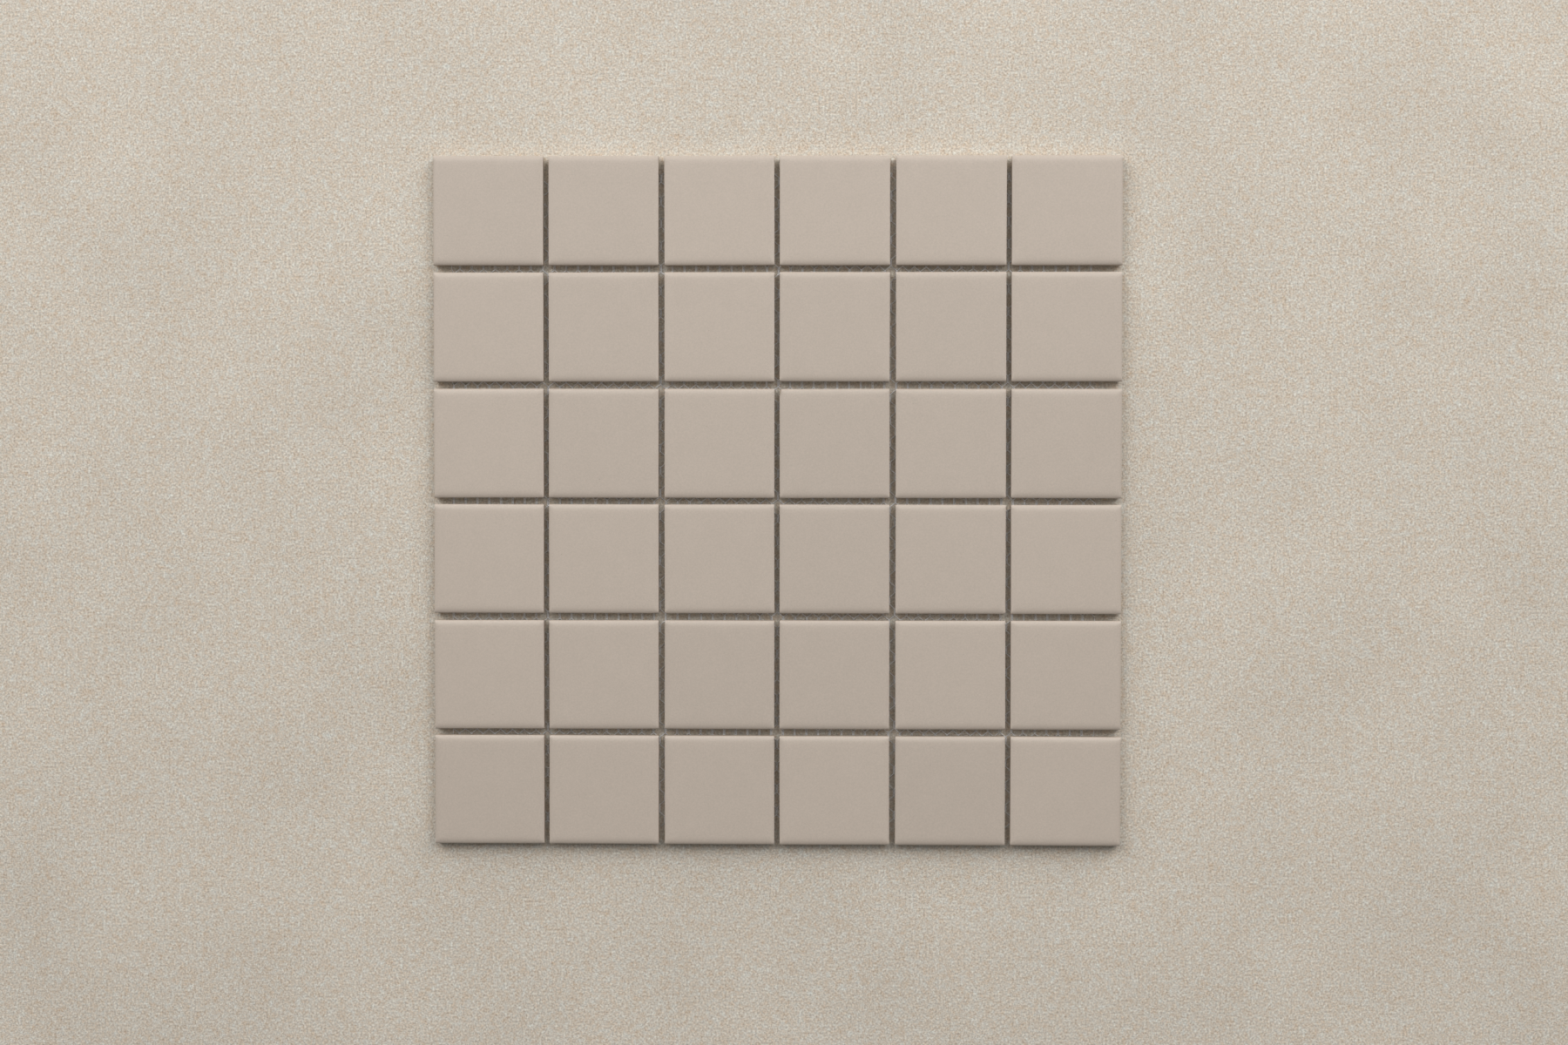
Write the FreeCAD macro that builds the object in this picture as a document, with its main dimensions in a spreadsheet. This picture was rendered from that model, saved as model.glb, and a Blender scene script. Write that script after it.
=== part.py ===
import FreeCAD, Part
import os

import Sketcher

# A sheet of mosaic tiles, face up. +X is to the right, +Y is away from the user and +Z comes out of the
# glazed faces. The origin is at the middle of the sheet, on the underside of the backing net.

# Driving sizes in millimetres, or in degrees where the note says so.
sizes = {
    "columns": 6,  # tiles from left to right
    "rows": 6,  # tiles from front to back
    "tile_width": 48.36,  # one tile at its widest level, from left to right
    "tile_length": 48.12,  # and from front to back
    "tile_thickness": 6.0,  # from the back's ribs to the glazed face
    "joint_between_columns": 2.54,  # open joint from tile to tile along a row
    "joint_between_rows": 3.0,  # the tiles of a column lie this far apart
    "cushion_width": 2.5,  # how far in from the side the face starts to fall
    "cushion_fall": 0.4,  # how far the face falls over that width
    "cushion_radius": 10.0,  # soft bend from the flat face to the fall
    "arris_radius": 0.5,  # round from the fall to the side
    "side_land": 2.0,  # upright band of the side, below the arris
    "draft_inset": 0.1,  # how far the side leans in below that band
    "back_bevel": 0.5,  # bevel round the back
    "rib_gaps": 5,  # grooves between the ribs on the back
    "rib_pitch": 8.0,  # from one groove to the next
    "groove_width": 4.0,  # a groove's mouth
    "groove_depth": 0.5,  # how deep the die presses it
    "groove_flare": 0.3,  # how much narrower each side of its floor is
    "placing_play": 0.1,  # how far a tile lies off its place
    "turning_play": 0.12,  # how far it is turned, in degrees
    "stem_pitch": 5.21,  # the net's mesh across
    "stem_rows": 4.985,  # from one row of its knots to the next
    "net_lean": 1.45,  # how much its rows fall to the right, in degrees
    "thread_width": 0.45,
    "thread_height": 0.2,  # one layer of threads
    "net_inset_left": 7.0,  # the net ends this far inside the sheet's sides
    "net_inset_right": 10.7,
    "net_inset_far": 7.0,
    "net_inset_near": 7.0,
    "knot_shift_across": 0.3,  # from the sheet's middle to the knot nearest to it
    "knot_shift_along": 1.8,
}

# Sizes that follow from the ones above.
derived_sizes = {
    "column_pitch": "tile_width + joint_between_columns",
    "row_pitch": "tile_length + joint_between_rows",
    "sheet_width": "columns * column_pitch - joint_between_columns",
    "sheet_length": "rows * row_pitch - joint_between_rows",
    "fall_height": "tile_thickness - cushion_fall",
    "half_mesh_drop": "stem_pitch / 2 * tan(net_lean * 1 deg)",
}

faults = []


def make_size_sheet(doc):
    """Puts the driving sizes and the ones that follow from them in a spreadsheet, each with an alias."""
    sheet = doc.addObject("Spreadsheet::Sheet", "Sizes")
    texts = {name: str(value) for name, value in sizes.items()}
    texts.update({name: "=" + formula for name, formula in derived_sizes.items()})
    for row, (name, text) in enumerate(texts.items(), 1):
        sheet.set(f"A{row}", name)
        sheet.set(f"B{row}", text)
        sheet.setAlias(f"B{row}", name)
        doc.recompute()


def origin_feature(body, role):
    """The body's own origin plane or axis with this role."""
    return next(part for part in body.Origin.OriginFeatures if part.Role == role)


def sketch_outlines(body, name, role, outlines):
    """Sketches closed outlines on one of the body's origin planes.

    An outline is a list of corners, and a corner is a pair of expressions for its distances from the origin.
    """
    sketch = body.newObject("Sketcher::SketchObject", name)
    sketch.AttachmentSupport = [(origin_feature(body, role), "")]
    sketch.MapMode = "FlatFace"
    for corners in outlines:
        places = [FreeCAD.Vector(*(number(sketch, text) for text in corner), 0) for corner in corners]
        first = sketch.GeometryCount
        count = len(corners)
        for here in range(count):
            sketch.addGeometry(Part.LineSegment(places[here], places[(here + 1) % count]))
        for here, corner in enumerate(corners):
            line = first + here
            sketch.addConstraint(Sketcher.Constraint("Coincident", line, 2, first + (here + 1) % count, 1))
            for kind, text, place in zip(("DistanceX", "DistanceY"), corner, places[here]):
                index = sketch.addConstraint(Sketcher.Constraint(kind, line, 1, place))
                sketch.setExpression(f"Constraints[{index}]", text)
    return sketch


def number(thing, expression):
    """What an expression comes to now, as a plain number."""
    value = thing.evalExpression(expression)
    return float(getattr(value, "Value", value))


def edges_along(shape, height, direction):
    """Names of the straight edges at this height that run in this direction."""
    names = []
    for index, edge in enumerate(shape.Edges, 1):
        ends = [vertex.Point for vertex in edge.Vertexes]
        level = all(abs(end.z - height) < 1e-6 for end in ends)
        if level and len(ends) == 2 and (ends[1] - ends[0]).cross(direction).Length < 1e-6:
            names.append(f"Edge{index}")
    return names


def make_tile_bar(doc, name, role, direction, side):
    """A long bar with a tile's section: bevelled back, drafted sides and a cushion edge along each side."""
    body = doc.addObject("PartDesign::Body", name)
    right = [
        (f"{side} / 2 - Sizes.draft_inset - Sizes.back_bevel", "0"),
        (f"{side} / 2 - Sizes.draft_inset", "Sizes.back_bevel"),
        (f"{side} / 2", "Sizes.fall_height - Sizes.side_land"),
        (f"{side} / 2", "Sizes.fall_height"),
        (f"{side} / 2 - Sizes.cushion_width", "Sizes.tile_thickness"),
    ]
    left = [(f"-({across})", up) for across, up in reversed(right)]
    section = sketch_outlines(body, name + "Section", role, [right + left])
    pad = body.newObject("PartDesign::Pad", name + "Pad")
    pad.Profile = section
    pad.SideType = "Symmetric"
    pad.setExpression("Length", "Sizes.tile_width + Sizes.tile_length")
    doc.recompute()
    last = pad
    bends = (
        ("Cushion", "Sizes.tile_thickness", "Sizes.cushion_radius"),
        ("Arris", "Sizes.fall_height", "Sizes.arris_radius"),
    )
    for bend, height, radius in bends:
        fillet = body.newObject("PartDesign::Fillet", name + bend)
        fillet.Base = (last, edges_along(last.Shape, number(pad, height), direction))
        fillet.setExpression("Radius", radius)
        doc.recompute()
        last = fillet
    body.Tip = last
    return body


def press_grooves(doc, body):
    """Cuts the grooves between the back's ribs along the whole bar."""
    before = body.Shape.Volume
    middle = "((Sizes.rib_gaps - 1) / 2 * Sizes.rib_pitch)"
    corners = [
        (f"-{middle} - Sizes.groove_width / 2", "0"),
        (f"-{middle} + Sizes.groove_width / 2", "0"),
        (f"-{middle} + Sizes.groove_width / 2 - Sizes.groove_flare", "Sizes.groove_depth"),
        (f"-{middle} - Sizes.groove_width / 2 + Sizes.groove_flare", "Sizes.groove_depth"),
    ]
    section = sketch_outlines(body, "GrooveSection", "XZ_Plane", [corners])
    groove = body.newObject("PartDesign::Pocket", "Groove")
    groove.Profile = section
    groove.Type = "ThroughAll"
    groove.SideType = "Symmetric"
    doc.recompute()
    pattern = body.newObject("PartDesign::LinearPattern", "Grooves")
    pattern.Originals = [groove]
    pattern.Direction = (origin_feature(body, "X_Axis"), [""])
    pattern.setExpression("Length", "(Sizes.rib_gaps - 1) * Sizes.rib_pitch")
    pattern.setExpression("Occurrences", "Sizes.rib_gaps")
    body.Tip = pattern
    doc.recompute()
    if body.Shape.Volume >= before:
        faults.append("the grooves cut nothing")


def make_tile(doc):
    """One tile: what two crossing bars share, so that the cushion edges meet in mitres at the corners."""
    lengthwise = make_tile_bar(doc, "BarAlong", "XZ_Plane", FreeCAD.Vector(0, 1, 0), "Sizes.tile_width")
    press_grooves(doc, lengthwise)
    crosswise = make_tile_bar(doc, "BarAcross", "YZ_Plane", FreeCAD.Vector(1, 0, 0), "Sizes.tile_length")
    tile = doc.addObject("Part::MultiCommon", "Tile")
    tile.Shapes = [lengthwise, crosswise]
    doc.recompute()
    return tile


def lay_tiles(doc, tile):
    """Lays a linked copy of the tile at each place.

    Each tile has a small play of its own: a wave over the rows and columns, so that no two neighbours lie alike.
    """
    laid = []
    upright_turn = FreeCAD.Placement(FreeCAD.Vector(), FreeCAD.Rotation(FreeCAD.Vector(0, 0, 1), 1))
    for row in range(1, sizes["rows"] + 1):
        for column in range(1, sizes["columns"] + 1):
            across = f"(({column} - (Sizes.columns + 1) / 2) * Sizes.column_pitch)"
            along = f"(((Sizes.rows + 1) / 2 - {row}) * Sizes.row_pitch)"
            copy = doc.addObject("App::Link", f"Tile{row}{column}")
            copy.LinkedObject = tile
            copy.Label = f"tile_r{row}_c{column}"
            copy.Placement = upright_turn
            play_across = f"Sizes.placing_play * sin({160 * column - 10 * row + 22} deg)"
            play_along = f"Sizes.placing_play * sin({20 * column - 140 * row - 108} deg)"
            play_turn = f"Sizes.turning_play * sin({130 * row + 100 * column} deg)"
            copy.setExpression("Placement.Base.x", f"{across} + {play_across}")
            copy.setExpression("Placement.Base.y", f"{along} + {play_along}")
            copy.setExpression("Placement.Base.z", "2 * Sizes.thread_height")
            copy.setExpression("Placement.Rotation.Angle", f"{play_turn} * 1 deg")
            laid.append(copy)
    doc.recompute()
    return laid


def make_thread_layer(doc, label, side, level):
    """One layer of the net: parallel threads that fall to the right (side 1) or to the left (side -1).

    The two layers cross at the net's knots, and the upper one lies on the lower one.
    """
    body = doc.addObject("PartDesign::Body", label.title().replace("_", ""))
    body.Label = label
    body.AllowCompound = True
    drop = f"(Sizes.stem_rows + {side} * Sizes.half_mesh_drop)"
    lean = f"{side} * atan(Sizes.stem_pitch / 2 / {drop})"
    spacing = f"(Sizes.stem_pitch * Sizes.stem_rows / {drop})"
    reach = f"(Sizes.sheet_width / 2 + Sizes.sheet_length / 2 * Sizes.stem_pitch / 2 / {drop})"
    beyond = f"(ceil({reach} / {spacing}) + 1)"
    half_width, half_length = "Sizes.thread_width / 2", "(Sizes.sheet_width + Sizes.sheet_length) / 2"
    strip = [
        (f"-{half_width}", f"-{half_length}"),
        (half_width, f"-{half_length}"),
        (half_width, half_length),
        (f"-{half_width}", half_length),
    ]
    sketch = sketch_outlines(body, label + "_strip", "XY_Plane", [strip])
    sketch.AttachmentOffset = FreeCAD.Placement(
        FreeCAD.Vector(), FreeCAD.Rotation(FreeCAD.Vector(0, 0, 1), side)
    )
    first_place = f"Sizes.knot_shift_across - {beyond} * {spacing}"
    sketch.setExpression("AttachmentOffset.Base.x", first_place)
    sketch.setExpression("AttachmentOffset.Base.y", "Sizes.knot_shift_along")
    sketch.setExpression("AttachmentOffset.Rotation.Angle", lean)
    thread = body.newObject("PartDesign::Pad", label + "_thread")
    thread.Profile = sketch
    thread.setExpression("Length", "Sizes.thread_height")
    doc.recompute()
    pattern = body.newObject("PartDesign::LinearPattern", label + "_threads")
    pattern.Originals = [thread]
    pattern.Direction = (origin_feature(body, "X_Axis"), [""])
    pattern.setExpression("Length", f"2 * {beyond} * {spacing}")
    pattern.setExpression("Occurrences", f"2 * {beyond} + 1")
    body.Tip = pattern
    doc.recompute()
    trim_net(doc, body, label)
    body.setExpression("Placement.Base.z", f"{level} * Sizes.thread_height")
    doc.recompute()
    return body


def trim_net(doc, body, label):
    """Cuts a layer of threads off at the net's four edges."""
    before = body.Shape.Volume
    left = "-Sizes.sheet_width / 2 + Sizes.net_inset_left"
    right = "Sizes.sheet_width / 2 - Sizes.net_inset_right"
    near = "-Sizes.sheet_length / 2 + Sizes.net_inset_near"
    far = "Sizes.sheet_length / 2 - Sizes.net_inset_far"
    outside = "(2 * (Sizes.sheet_width + Sizes.sheet_length))"
    around = [
        (f"-{outside}", f"-{outside}"),
        (outside, f"-{outside}"),
        (outside, outside),
        (f"-{outside}", outside),
    ]
    edge = [(left, near), (right, near), (right, far), (left, far)]
    sketch = sketch_outlines(body, label + "_edge", "XY_Plane", [around, edge])
    cut = body.newObject("PartDesign::Pocket", label + "_trim")
    cut.Profile = sketch
    cut.Type = "ThroughAll"
    cut.SideType = "Symmetric"
    body.Tip = cut
    doc.recompute()
    if body.Shape.Volume >= before:
        faults.append(f"the trim of {label} cut nothing")


def export(doc, sub_parts):
    """Checks every object and every sub-part, then writes one STEP file for each sub-part."""
    for thing in doc.Objects:
        if "Invalid" in thing.State or "Error" in thing.State:
            faults.append(f"{thing.Label} is {thing.State}")
    shapes = {part.Label: Part.getShape(part) for part in sub_parts}
    for label, shape in shapes.items():
        if shape.isNull() or not shape.isValid() or not shape.Solids:
            faults.append(f"{label} has no sound shape")
    if faults:
        raise RuntimeError("; ".join(faults))
    os.makedirs("parts", exist_ok=True)
    for label, shape in shapes.items():
        shape.exportStep(f"parts/{label}.step")
    whole = Part.makeCompound(list(shapes.values())).BoundBox
    print(f"{len(shapes)} sub-parts, {whole.XLength:.2f} x {whole.YLength:.2f} x {whole.ZLength:.2f} mm")


document = FreeCAD.newDocument("MosaicSheet")
make_size_sheet(document)
tiles = lay_tiles(document, make_tile(document))
layers = [
    make_thread_layer(document, "net_threads_right", 1, 0),
    make_thread_layer(document, "net_threads_left", -1, 1),
]
export(document, tiles + layers)
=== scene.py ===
import math

import bpy
import numpy as np
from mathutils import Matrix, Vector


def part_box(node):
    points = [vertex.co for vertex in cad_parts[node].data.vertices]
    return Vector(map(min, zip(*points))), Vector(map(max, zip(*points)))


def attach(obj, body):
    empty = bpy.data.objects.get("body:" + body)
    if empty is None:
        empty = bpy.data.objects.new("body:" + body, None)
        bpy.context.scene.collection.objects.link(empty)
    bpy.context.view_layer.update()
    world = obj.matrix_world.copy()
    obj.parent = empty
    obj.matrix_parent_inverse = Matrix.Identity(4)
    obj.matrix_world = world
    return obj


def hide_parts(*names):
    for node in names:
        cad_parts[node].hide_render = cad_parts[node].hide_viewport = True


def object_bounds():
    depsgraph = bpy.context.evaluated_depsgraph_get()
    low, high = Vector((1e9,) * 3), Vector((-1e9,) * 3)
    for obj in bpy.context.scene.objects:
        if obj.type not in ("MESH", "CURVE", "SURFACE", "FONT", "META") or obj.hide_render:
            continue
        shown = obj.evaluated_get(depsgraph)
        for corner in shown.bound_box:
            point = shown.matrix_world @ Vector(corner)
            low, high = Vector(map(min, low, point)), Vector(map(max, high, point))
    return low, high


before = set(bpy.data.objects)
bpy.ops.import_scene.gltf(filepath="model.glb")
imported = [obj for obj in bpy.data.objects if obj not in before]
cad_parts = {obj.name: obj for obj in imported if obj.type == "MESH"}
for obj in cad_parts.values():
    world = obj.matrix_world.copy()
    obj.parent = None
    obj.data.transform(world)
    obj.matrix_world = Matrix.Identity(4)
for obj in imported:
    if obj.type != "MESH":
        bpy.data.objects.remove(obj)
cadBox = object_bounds()
mm = 0.001


def linearColour(hexText):
    # sRGB hex to linear: c / 12.92 near black, ((c + 0.055) / 1.055) to the power 2.4 above it
    channels = np.array([int(hexText[i:i + 2], 16) for i in (1, 3, 5)]) / 255
    linear = np.where(channels <= 0.04045, channels / 12.92, ((channels + 0.055) / 1.055) ** 2.4)
    return (*linear, 1.0)


def addNode(tree, kind, settings=(), links=()):
    # One node: settings are its properties or its inputs' values, links feed its inputs. An input goes by
    # its name, or by its number where several share a name.
    node = tree.nodes.new(kind)
    for key, value in dict(settings).items():
        if isinstance(key, int) or key in node.inputs:
            node.inputs[key].default_value = value
        else:
            setattr(node, key, value)
    for key, source in dict(links).items():
        tree.links.new(source, node.inputs[key])
    return node


def newMaterial(name):
    # an empty material, its node tree, and the place on the piece that its patterns are drawn on
    material = bpy.data.materials.new(name)
    material.use_nodes = True
    tree = material.node_tree
    tree.nodes.clear()
    return material, tree, addNode(tree, "ShaderNodeTexCoord").outputs["Object"]


def colourRamp(ramp, dark, light, span):
    # the ramp runs evenly from dark to light over the span of its input
    for element, position, colour in zip(ramp.color_ramp.elements, span, (dark, light)):
        element.position, element.color = position, linearColour(colour)


def newObject(name, data):
    # an object at the origin, put into the scene
    thing = bpy.data.objects.new(name, data)
    bpy.context.scene.collection.objects.link(thing)
    return thing


def newPiece(name, points, faces, materials, faceMaterial=None):
    # whole arrays of corners and faces become one smooth mesh object
    mesh = bpy.data.meshes.new(name)
    mesh.from_pydata(points, [], faces)
    for material in materials:
        mesh.materials.append(material)
    if faceMaterial is not None:
        mesh.polygons.foreach_set("material_index", np.asarray(faceMaterial, dtype=np.int32))
    mesh.polygons.foreach_set("use_smooth", np.full(len(mesh.polygons), True))
    mesh.update()
    return newObject(name, mesh)


# Camera, light and floor

studio = {
    "cameraHeight": 1.1,
    "cameraOver": (0.0256, 0.0212),  # the point of the floor straight below the lens
    "cameraTilt": (-1.598, 1.179, 0.035),  # degrees from looking straight down
    "lens": 57.05,
    "clipStart": 0.05,  # nothing nearer to the lens is drawn
    "boxSize": (1.3, 2.9),  # two tall soft boxes beyond the picture's top corners
    "boxDistance": 2.2,
    "boxElevation": 35.0,
    "boxTurn": 41.0,  # how far each stands to the side of the sheet's middle line
    "boxPower": {"left": 41.9, "right": 46.2},
    "ceilingSize": 3.0,  # the pale ceiling, which lights the joints from straight above
    "ceilingHeight": 2.5,
    "ceilingPower": 11.5,
    "roomLight": 0.08,
    "floorSize": 16.0,
}

camera = newObject("camera", bpy.data.cameras.new("camera"))
camera.data.lens, camera.data.clip_start = studio["lens"], studio["clipStart"]
camera.location = (*studio["cameraOver"], studio["cameraHeight"])
camera.rotation_euler = [math.radians(angle) for angle in studio["cameraTilt"]]
bpy.context.scene.camera = camera
bpy.context.scene.view_settings.view_transform = "Standard"

# each soft box stands on a circle round the sheet's middle and faces it
elevation = math.radians(studio["boxElevation"])
away = studio["boxDistance"] * math.cos(elevation)
for side, name in ((-1, "left"), (1, "right")):
    box = newObject(f"soft_box_{name}", bpy.data.lights.new(f"soft_box_{name}", "AREA"))
    box.data.shape = "RECTANGLE"
    box.data.size, box.data.size_y = studio["boxSize"]
    box.data.energy = studio["boxPower"][name]
    turn = math.radians(side * studio["boxTurn"])
    box.location = (away * math.sin(turn), away * math.cos(turn), studio["boxDistance"] * math.sin(elevation))
    box.rotation_euler = (elevation - math.pi / 2, 0, -turn)

ceiling = newObject("ceiling", bpy.data.lights.new("ceiling", "AREA"))
ceiling.data.size, ceiling.data.energy = studio["ceilingSize"], studio["ceilingPower"]
ceiling.location = (0, 0, studio["ceilingHeight"])

room = bpy.data.worlds.new("room")
room.use_nodes = True
background = room.node_tree.nodes["Background"]
background.inputs["Color"].default_value = (1, 1, 1, 1)
background.inputs["Strength"].default_value = studio["roomLight"]
bpy.context.scene.world = room

noiseSpan = (0.3, 0.7)  # most of a noise pattern's values lie between these
fromNoise = {"From Min": noiseSpan[0], "From Max": noiseSpan[1]}

# Painted board, rolled: matt and pale, a fine grain of warm and cool points that stays behind the sheet
board = {
    "grain": 0.9 * mm,
    "grainDepth": 0.1 * mm,
    "dark": "#a59a8f",
    "light": "#fffbf0",
    "tint": 2.8 * mm,  # patches and points of a darker, warmer tone
    "warm": "#e2ceba",
    "cool": "#eff8fe",
    "cloud": 70 * mm,  # very soft unevenness of the paint
    "cloudShade": 0.04,
    "roughness": 0.9,
    "gloss": 0.2,
}
paintedBoard, tree, where = newMaterial("painted_board")
grain = addNode(tree, "ShaderNodeTexNoise",
                {"Scale": 1 / board["grain"], "Detail": 4.0, "Roughness": 0.8}, {"Vector": where})
grainTone = addNode(tree, "ShaderNodeValToRGB", {}, {"Fac": grain.outputs["Fac"]})
colourRamp(grainTone, board["dark"], board["light"], noiseSpan)
tint = addNode(tree, "ShaderNodeTexNoise",
               {"Scale": 1 / board["tint"], "Detail": 4.0, "Roughness": 1.0,
                "noise_dimensions": "4D", "W": 5.0},
               {"Vector": where})
tintTone = addNode(tree, "ShaderNodeValToRGB", {}, {"Fac": tint.outputs["Fac"]})
colourRamp(tintTone, board["warm"], board["cool"], noiseSpan)
tinted = addNode(tree, "ShaderNodeVectorMath", {"operation": "MULTIPLY"},
                 {0: grainTone.outputs["Color"], 1: tintTone.outputs["Color"]})
clouds = addNode(tree, "ShaderNodeTexNoise", {"Scale": 1 / board["cloud"], "Detail": 3.0}, {"Vector": where})
cloudTone = addNode(tree, "ShaderNodeMapRange",
                    {**fromNoise, "To Min": 1 - board["cloudShade"], "To Max": 1 + board["cloudShade"]},
                    {"Value": clouds.outputs["Fac"]})
clouded = addNode(tree, "ShaderNodeVectorMath", {"operation": "SCALE"},
                  {"Vector": tinted.outputs["Vector"], "Scale": cloudTone.outputs["Result"]})
bump = addNode(tree, "ShaderNodeBump", {"Distance": board["grainDepth"]}, {"Height": grain.outputs["Fac"]})
shader = addNode(tree, "ShaderNodeBsdfPrincipled",
                 {"Roughness": board["roughness"], "Specular IOR Level": board["gloss"]},
                 {"Base Color": clouded.outputs["Vector"], "Normal": bump.outputs["Normal"]})
addNode(tree, "ShaderNodeOutputMaterial", {}, {"Surface": shader.outputs["BSDF"]})

half = studio["floorSize"] / 2
ground = newPiece("floor", [(-half, -half, 0), (half, -half, 0), (half, half, 0), (-half, half, 0)],
                  [(0, 1, 2, 3)], [paintedBoard])
print("camera, light and floor are in place")


# Materials of the tiles and the net

# a colour mix node's sockets, which share their names with others: its factor, two colours and result
factor, colourA, colourB, mixed = 0, 6, 7, 2

# Satin glaze on stoneware, sprayed and fired: a soft, wide sheen, fine points, faint clouds and iron specks
glaze = {
    "colour": "#b5a89b",
    "deepColour": "#b3a699",
    "speckColour": "#8d8172",
    "roughness": 0.46,
    "ior": 1.55,
    "cloud": 9 * mm,  # soft patches in the glaze
    "mottle": 0.62 * mm,  # fine fired points
    "mottleShade": 0.075,  # how much darker and lighter they are
    "firingShade": 0.019,  # how far a tile's tone lies off the others'
    "peel": 0.9 * mm,  # orange peel of the fired surface
    "peelDepth": 0.006 * mm,
    "speckSpacing": 16 * mm,
    "speckSize": 0.3 * mm,
    "speckCore": 0.6,  # the share of it that has the full tone
    "speckStrength": 0.55,
}
satinGlaze, tree, where = newMaterial("satin_glaze")
clouds = addNode(tree, "ShaderNodeTexNoise",
                 {"Scale": 1 / glaze["cloud"], "Detail": 4.0, "Roughness": 0.55}, {"Vector": where})
cloudTone = addNode(tree, "ShaderNodeMapRange", fromNoise, {"Value": clouds.outputs["Fac"]})
base = addNode(tree, "ShaderNodeMix",
               {"data_type": "RGBA", colourA: linearColour(glaze["deepColour"]),
                colourB: linearColour(glaze["colour"])},
               {factor: cloudTone.outputs["Result"]})
specks = addNode(tree, "ShaderNodeTexVoronoi", {"Scale": 1 / glaze["speckSpacing"]}, {"Vector": where})
speckHere = addNode(tree, "ShaderNodeMapRange",
                    {"From Min": glaze["speckCore"] * glaze["speckSize"] / glaze["speckSpacing"],
                     "From Max": glaze["speckSize"] / glaze["speckSpacing"],
                     "To Min": glaze["speckStrength"], "To Max": 0.0},
                    {"Value": specks.outputs["Distance"]})
speckled = addNode(tree, "ShaderNodeMix",
                   {"data_type": "RGBA", colourB: linearColour(glaze["speckColour"])},
                   {factor: speckHere.outputs["Result"], colourA: base.outputs[mixed]})
mottle = addNode(tree, "ShaderNodeTexNoise",
                 {"Scale": 1 / glaze["mottle"], "Detail": 3.0, "Roughness": 0.7}, {"Vector": where})
mottleTone = addNode(tree, "ShaderNodeMapRange",
                     {**fromNoise, "To Min": 1 - glaze["mottleShade"], "To Max": 1 + glaze["mottleShade"]},
                     {"Value": mottle.outputs["Fac"]})
firing = addNode(tree, "ShaderNodeAttribute", {"attribute_name": "firing"})
shade = addNode(tree, "ShaderNodeMath", {"operation": "MULTIPLY_ADD", 1: glaze["firingShade"]},
                {0: firing.outputs["Fac"], 2: mottleTone.outputs["Result"]})
fired = addNode(tree, "ShaderNodeVectorMath", {"operation": "SCALE"},
                {"Vector": speckled.outputs[mixed], "Scale": shade.outputs["Value"]})
peel = addNode(tree, "ShaderNodeTexNoise", {"Scale": 1 / glaze["peel"], "Detail": 2.0}, {"Vector": where})
bump = addNode(tree, "ShaderNodeBump", {"Distance": glaze["peelDepth"]}, {"Height": peel.outputs["Fac"]})
shader = addNode(tree, "ShaderNodeBsdfPrincipled", {"Roughness": glaze["roughness"], "IOR": glaze["ior"]},
                 {"Base Color": fired.outputs["Vector"], "Normal": bump.outputs["Normal"]})
addNode(tree, "ShaderNodeOutputMaterial", {}, {"Surface": shader.outputs["BSDF"]})

# Fired stoneware body, pressed: dry, chalky and a little sandy; it shows on the sides, the back and in chips
stoneware = {
    "sand": 0.5 * mm,
    "sandDepth": 0.03 * mm,
    "dark": "#b1a18e",
    "light": "#c4b6a4",
    "roughness": 0.85,
}
firedBody, tree, where = newMaterial("fired_body")
sand = addNode(tree, "ShaderNodeTexNoise", {"Scale": 1 / stoneware["sand"], "Detail": 3.0}, {"Vector": where})
bodyTone = addNode(tree, "ShaderNodeValToRGB", {}, {"Fac": sand.outputs["Fac"]})
colourRamp(bodyTone, stoneware["dark"], stoneware["light"], noiseSpan)
bump = addNode(tree, "ShaderNodeBump", {"Distance": stoneware["sandDepth"]}, {"Height": sand.outputs["Fac"]})
shader = addNode(tree, "ShaderNodeBsdfPrincipled", {"Roughness": stoneware["roughness"]},
                 {"Base Color": bodyTone.outputs["Color"], "Normal": bump.outputs["Normal"]})
addNode(tree, "ShaderNodeOutputMaterial", {}, {"Surface": shader.outputs["BSDF"]})

# Knitted polyester yarn, stiffened with clear size: pale filaments, slightly glossy
yarn = {
    "filament": 0.25 * mm,  # coarser than the real filaments, so that they show
    "dark": "#e6e6e7",
    "light": "#fcfcfc",
    "roughness": 0.45,
    "ior": 1.57,
}
knitYarn, tree, where = newMaterial("polyester_yarn")
filament = addNode(tree, "ShaderNodeTexNoise",
                   {"Scale": 1 / yarn["filament"], "Detail": 2.0}, {"Vector": where})
yarnTone = addNode(tree, "ShaderNodeValToRGB", {}, {"Fac": filament.outputs["Fac"]})
colourRamp(yarnTone, yarn["dark"], yarn["light"], (0.0, 1.0))
shader = addNode(tree, "ShaderNodeBsdfPrincipled", {"Roughness": yarn["roughness"], "IOR": yarn["ior"]},
                 {"Base Color": yarnTone.outputs["Color"]})
addNode(tree, "ShaderNodeOutputMaterial", {}, {"Surface": shader.outputs["BSDF"]})
print("glaze, stoneware and yarn are ready")


# The knitted net

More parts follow.
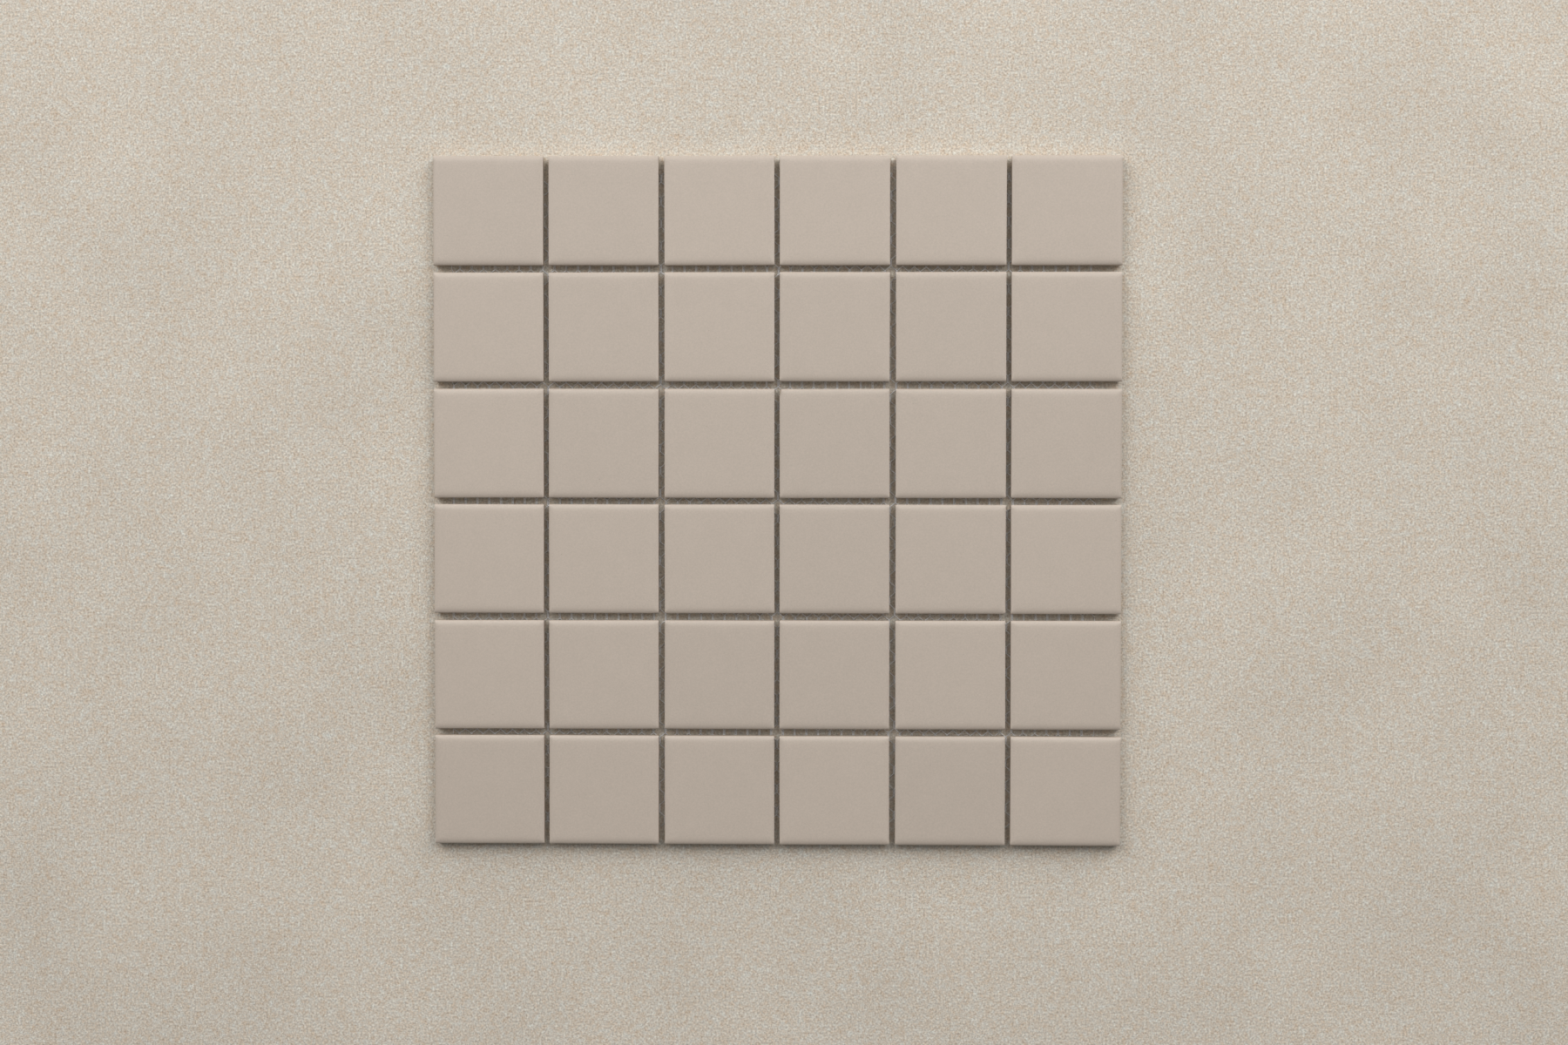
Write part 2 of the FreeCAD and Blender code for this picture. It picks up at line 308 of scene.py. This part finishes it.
net = {
    "pitch": 5.21 * mm,  # from one column of stems to the next of the same row
    "row": 4.985 * mm,
    "lean": math.radians(1.45),  # the rows run down to the right
    "columnLean": math.radians(0.21),  # and the stems' lines lean a little to the right
    "rowSag": 1.05 * mm,  # how far the rows hang at the sheet's sides
    "rowTwist": 0.25 * mm,  # how far the net is pulled out of square at the sheet's corners
    "nearPull": 0.7 * mm,  # how far its near and far edges are drawn to the near side
    "leftPull": 0.68 * mm,  # and its sides to the left
    "stemAt": (0.27 * mm, 2.2 * mm),  # the stem nearest the middle
    "crossing": 1.42 * mm,  # half a stem, from its waist to where its yarns cross
    "shoulder": (0.34 * mm, 1.06 * mm),  # a yarn's outermost place, across and along from its stem's middle
    "waist": 0.22 * mm,  # and how far across it stands at the middle
    "legWidth": 0.42 * mm,
    "shoulderWidth": 0.40 * mm,
    "waistWidth": 0.56 * mm,
    "thickness": 0.25 * mm,  # with the rise and the lift, just up to the tiles' backs
    "legRise": 0.10 * mm,  # the legs bridge from stem to stem this far above the floor
    "shoulderRise": 0.6,  # the share of it at a shoulder
    "lift": 0.06 * mm,  # how far one yarn passes over the other
    "shoulderLift": 0.7,  # the share of it at a shoulder
    "waistLift": 0.4,  # and at the waist
    "spare": 8 * mm,  # knitted past the near and far edges, so that the pulls leave enough to cut
    "cover": 0.30,  # the share of its outline that the yarns fill
}


def yarnPaths(left, right, near, far):
    # Each yarn zigzags down between two stem lines half a pitch apart. At a stem it crosses to the far
    # strand, bows in to the waist and out again, crosses back and runs as a leg to the other line's next
    # stem. Then the net is drawn out of true, by amounts that grow with the square of the distance from the
    # middle lines, and for the twist with the product of both distances. Each path is cut off at the near
    # and the far edge.
    step, reach = net["pitch"] / 2, cadBox[1][0]
    stemX, stemY = net["stemAt"]
    rows = np.arange(-math.ceil((far + net["spare"]) / net["row"]),
                     math.ceil((-near + net["spare"]) / net["row"]) + 1)
    out, up = net["shoulder"]
    along = np.array([net["crossing"], up, 0, -up, -net["crossing"]])
    across = np.array([0, out, net["waist"], out, 0])
    width = [net[place + "Width"] for place in ("leg", "shoulder", "waist", "shoulder", "leg")]
    rise = net["legRise"] * np.array([1, net["shoulderRise"], 0, net["shoulderRise"], 1])
    over = net["lift"] * np.array([1, net["shoulderLift"], net["waistLift"], net["shoulderLift"], 1])
    for gap in range(math.floor((left - stemX) / step), math.floor((right - stemX) / step) + 1):
        onLeftLine = (rows - gap) % 2 == 0
        side = np.where(onLeftLine, -1, 1)  # the strand away from where its legs come from
        lineX = stemX + step * (gap + np.where(onLeftLine, 0, 1))
        lineY = stemY - net["row"] * rows - math.tan(net["lean"]) * (lineX - stemX)
        y = (lineY[:, None] + along).ravel()
        x = (lineX[:, None] + side[:, None] * across).ravel() + math.tan(net["columnLean"]) * (y - stemY)
        sideways, lengthways = x / reach, y / reach
        x -= net["leftPull"] * sideways ** 2
        y += net["rowTwist"] * sideways * lengthways - net["rowSag"] * sideways ** 2
        y -= net["nearPull"] * lengthways ** 2
        x = np.clip(x, left + net["legWidth"] / 2, right - net["legWidth"] / 2)
        lines = [x, y, np.tile(width, len(rows)), np.tile(rise + over * (gap % 2), len(rows))]
        inside = (y < far) & (y > near)
        ends = [np.interp((far, near), y[::-1], line[::-1]) for line in lines]
        yield [np.concatenate((end[:1], line[inside], end[1:])) for line, end in zip(lines, ends)]


def sweptYarn(x, y, width, height):
    # A three-sided section carried along the path, flat side up as the tiles press it: two corners on top,
    # half the width to each side and square to the path's direction, and one underneath.
    path = np.stack([x, y], 1)
    run = np.gradient(path, axis=0)
    run /= np.linalg.norm(run, axis=1)[:, None]
    sideways = np.stack([-run[:, 1], run[:, 0]], 1) * width[:, None] / 2
    ring = np.stack([np.column_stack([path - sideways, height + net["thickness"]]),
                     np.column_stack([path, height]),
                     np.column_stack([path + sideways, height + net["thickness"]])], 1)
    start = 3 * np.arange(len(x) - 1)[:, None]
    corner = np.arange(3)[None, :]
    after = (corner + 1) % 3
    quads = np.stack([start + corner, start + after, start + 3 + after, start + 3 + corner], -1)
    return ring.reshape(-1, 3), quads.reshape(-1, 4)


def knittedNet(name, left, right, near, far):
    # all the yarns in one mesh, with a triangle closing each end of a yarn
    points, faces, count = [], [], 0
    for path in yarnPaths(left, right, near, far):
        rings, quads = sweptYarn(*path)
        points.append(rings)
        faces += (quads + count).tolist()
        last = count + len(rings) - 3
        faces += [[count + 2, count + 1, count], [last, last + 1, last + 2]]
        count += len(rings)
    return newPiece(name, np.concatenate(points), faces, [knitYarn])


threadBoxes = np.array([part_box("net_threads_right"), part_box("net_threads_left")])
netLow, netHigh = threadBoxes[:, 0].min(0), threadBoxes[:, 1].max(0)
backingNet = knittedNet("backing_net", netLow[0], netHigh[0], netLow[1], netHigh[1])
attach(backingNet, "root")
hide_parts("net_threads_right", "net_threads_left")
print("the net is knitted:", len(backingNet.data.polygons), "faces")


# The tiles

tile = {
    "rows": 6,
    "columns": 6,
    "width": 48.36 * mm,
    "length": 48.12 * mm,
    "thickness": 6.0 * mm,
    "cushionWidth": 5.5 * mm,  # where the face starts to fall towards the edge
    "cushionFall": 0.76 * mm,
    "cushionReach": 1.05 * mm,  # the fall grows by a factor e over this distance
    "cushionEase": 0.25,  # the power that brings it to nothing at the cushion's width
    "sideShift": 0.5 * mm,  # the left and right edges cut the cushion off this far in, so they stay crisper
    "arrisRadius": 0.25 * mm,
    "cornerRadius": 0.35 * mm,  # in plan
    "mitreSoftness": 0.5 * mm,
    "arrisSteps": 6,
    "cushionSteps": 8,
    "stepGrowth": 1.3,  # how much the cushion's steps widen inwards
    "middleSteps": 5,  # between the near and the far cushion
    "smoothUpTo": math.radians(40),  # edges that turn more than this stay sharp
    "glazeRunsDown": 1.2 * mm,  # how far the glaze covers the side below the arris
    "sideLand": 3.65 * mm,  # height where the side starts to lean in towards the back
    "draftInset": 0.1 * mm,
    "bevel": 0.5 * mm,
    "ribPitch": 8.0 * mm,
    "ribGaps": 5,
    "grooveWidth": 4.0 * mm,
    "grooveFlare": 0.3 * mm,
    "grooveDepth": 0.5 * mm,
    "chips": {"tile_r3_c4": (-0.7 * mm, 2.5 * mm)},  # the signs say which corner is off, the sizes how far
    "chipDepth": 3.0 * mm,
    "chipPower": 0.25,
    "chipSteps": (0.2, 2.0, 0.12),  # mm from the edge: the first, the end and the step
    "ringDrop": 0.1 * mm,  # under a chip, each ring down the side stays this much lower than the one above
}


def edgeStations(chipped):
    # Distances from the tile's edge: even angles round the arris, then steps over the cushion that widen
    # with a power of their number, with a chip's finer steps between them.
    radius, count = tile["arrisRadius"], tile["cushionSteps"]
    roundArris = radius * (1 - np.sin(np.radians(np.linspace(90, 0, tile["arrisSteps"] + 1))))
    growing = (np.arange(1, count + 1) / count) ** tile["stepGrowth"]
    cushion = radius + (tile["cushionWidth"] - radius) * growing
    chipLines = np.arange(*tile["chipSteps"]) * mm if chipped else []
    return np.unique(np.concatenate([roundArris, cushion, chipLines]))


def fallAt(distance):
    # The cushion is its fall times exp(-d / reach) times 1 - d / width to the ease power, the arris a quarter
    # circle at the edge.
    ease = np.clip(1 - distance / tile["cushionWidth"], 0, 1) ** tile["cushionEase"]
    cushion = tile["cushionFall"] * np.exp(-distance / tile["cushionReach"]) * ease
    inArris = np.clip(tile["arrisRadius"] - distance, 0, tile["arrisRadius"])
    arris = tile["arrisRadius"] - np.sqrt(tile["arrisRadius"] ** 2 - inArris ** 2)
    return cushion + arris


def roundedPlan(x, y, halfX, halfY):
    # The square's corners become quarter circles: what lies beyond half - radius on both axes is pulled from
    # its square ring to a round one. Also gives the cushion's distance: to the far and near edges as it is,
    # to the left and right edges with the side's shift added. Along the mitre it is a soft minimum of the
    # two, the smaller less (s - their difference) squared / 4s, which leaves alone what lies within the
    # corner's radius of an edge.
    radius, softness = tile["cornerRadius"], tile["mitreSoftness"]
    overX, overY = np.abs(x) - (halfX - radius), np.abs(y) - (halfY - radius)
    both = (overX > 0) & (overY > 0)
    length = np.where(both, np.hypot(overX, overY), 1)
    shrink = np.where(both, np.maximum(overX, overY) / length, 1)
    newX = np.where(both, np.sign(x) * (halfX - radius + overX * shrink), x)
    newY = np.where(both, np.sign(y) * (halfY - radius + overY * shrink), y)
    toSide, toEnd = halfX - np.abs(x) + tile["sideShift"], halfY - np.abs(y)
    blend = np.clip(softness - np.abs(toSide - toEnd), 0, None) ** 2 / (4 * softness)
    distance = np.minimum(toSide, toEnd)
    return newX, newY, np.maximum(distance - blend, np.minimum(distance, radius))


def tileShape(chip):
    # Two grids, face and back, on the same stations across and along, joined by rings down the four sides.
    # Gives the points round the tile's own middle, the faces, and which of them are bare stoneware.
    halves = np.array([tile["width"], tile["length"]]) / 2
    halfX, halfY = halves
    toBack = 1 - (tile["draftInset"] + tile["bevel"]) / halves
    grooves = (np.arange(tile["ribGaps"]) - (tile["ribGaps"] - 1) / 2) * tile["ribPitch"]
    mouth = tile["grooveWidth"] / 2
    floorHalf = mouth - tile["grooveFlare"]
    lines = (grooves[:, None] + np.array([-mouth, -floorHalf, floorHalf, mouth])).ravel() / toBack[0]
    edge = edgeStations(chip)
    left, near = edge - halfX, edge - halfY
    middle = np.linspace(near[-1], -near[-1], tile["middleSteps"] + 1)[1:-1]
    xs = np.concatenate([left, lines, -left[::-1]])
    ys = np.concatenate([near, middle, -near[::-1]])
    nx, ny = len(xs), len(ys)
    x, y = np.meshgrid(xs, ys, indexing="ij")
    planX, planY, distance = roundedPlan(x, y, halfX, halfY)
    top = tile["thickness"] - fallAt(distance)
    bite = np.zeros_like(x)
    if chip:
        # the face falls by the depth times 1 - q to the chip's power; q grows from 0 at the corner to 1
        fromSide = (halfX - x * np.sign(chip[0])) / chip[0]
        fromEnd = (halfY - y * np.sign(chip[1])) / chip[1]
        bite = np.clip(1 - np.hypot(fromSide, fromEnd), 0, 1) ** tile["chipPower"]
        top -= tile["chipDepth"] * bite
    face = np.stack([planX, planY, top], -1).reshape(-1, 3)

    # on the back, a groove's depth grows evenly over its flare
    backX, backY = planX * toBack[0], planY * toBack[1]
    off = np.abs(backX[..., None] - grooves).min(-1)
    depth = tile["grooveDepth"] * np.clip((mouth - off) / tile["grooveFlare"], 0, 1)
    back = np.stack([backX, backY, depth], -1).reshape(-1, 3)

    i, j = np.meshgrid(np.arange(nx - 1), np.arange(ny - 1), indexing="ij")
    corner = (i * ny + j).ravel()
    faceQuads = np.stack([corner, corner + ny, corner + ny + 1, corner + 1], -1)
    backQuads = faceQuads[:, ::-1] + nx * ny

    # rings down the sides follow the grids' border, anticlockwise from above
    border = np.concatenate([np.arange(nx - 1) * ny, (nx - 1) * ny + np.arange(ny - 1),
                             np.arange(nx - 1, 0, -1) * ny + ny - 1, np.arange(ny - 1, 0, -1)])
    rim = face[border]
    heights = (tile["thickness"] - fallAt(0.0) - tile["glazeRunsDown"], tile["sideLand"], tile["bevel"])
    insets = (0, 0, tile["draftInset"])
    drops = tile["ringDrop"] * np.arange(1, len(heights) + 1)
    rings = np.concatenate([np.column_stack([rim[:, :2] * (1 - inset / halves),
                                             np.minimum(rim[:, 2] - drop, height)])
                            for height, inset, drop in zip(heights, insets, drops)])
    levels = np.concatenate([[border], 2 * nx * ny + np.arange(len(rings)).reshape(len(heights), -1),
                             [border + nx * ny]])
    nextOne = np.roll(levels, -1, axis=1)
    sideQuads = np.stack([levels[:-1], levels[1:], nextOne[1:], nextOne[:-1]], -1).reshape(-1, 4)

    broken = bite.ravel() > 0
    bare = np.concatenate([broken[faceQuads].all(1), np.ones(len(backQuads)), broken[border],
                           np.ones(len(sideQuads) - len(border))])
    return np.concatenate([face, back, rings]), np.concatenate([faceQuads, backQuads, sideQuads]), bare


def layTile(name, shape, centre, turn, seed):
    # the shape turned about its middle and put in its place, with its own tone from the firing
    points, quads, bare = shape
    cos, sin = math.cos(turn), math.sin(turn)
    placed = np.column_stack([centre[0] + points[:, 0] * cos - points[:, 1] * sin,
                              centre[1] + points[:, 0] * sin + points[:, 1] * cos, centre[2] + points[:, 2]])
    piece = newPiece(name, placed, quads.tolist(), [satinGlaze, firedBody], bare)
    piece.data.set_sharp_from_angle(angle=tile["smoothUpTo"])
    firingTone = np.full(len(placed), np.random.default_rng(seed).uniform(-1, 1))
    piece.data.attributes.new("firing", "FLOAT", "POINT").data.foreach_set("value", firingTone)
    return piece


def placeOf(node):
    # the node's box gives the middle and the back, the line between its two corners on the right the turn
    low, high = (np.array(corner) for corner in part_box(node))
    middle = (low + high) / 2
    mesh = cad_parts[node].data
    points = np.empty(3 * len(mesh.vertices))
    mesh.vertices.foreach_get("co", points)
    points = points.reshape(-1, 3)[:, :2] - middle[:2]
    nearRight = points[np.argmax(points[:, 0] - points[:, 1])]
    farRight = points[np.argmax(points[:, 0] + points[:, 1])]
    turn = math.atan2(farRight[1] - nearRight[1], farRight[0] - nearRight[0]) - math.pi / 2
    return (middle[0], middle[1], low[2]), turn


for row in range(1, tile["rows"] + 1):
    for column in range(1, tile["columns"] + 1):
        node = f"tile_r{row}_c{column}"
        centre, turn = placeOf(node)
        shape = tileShape(tile["chips"].get(node))
        piece = layTile(f"glazed_{node}", shape, centre, turn, 10 * row + column)
        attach(piece, "root")
        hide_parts(node)
print(tile["rows"] * tile["columns"], "tiles are laid")
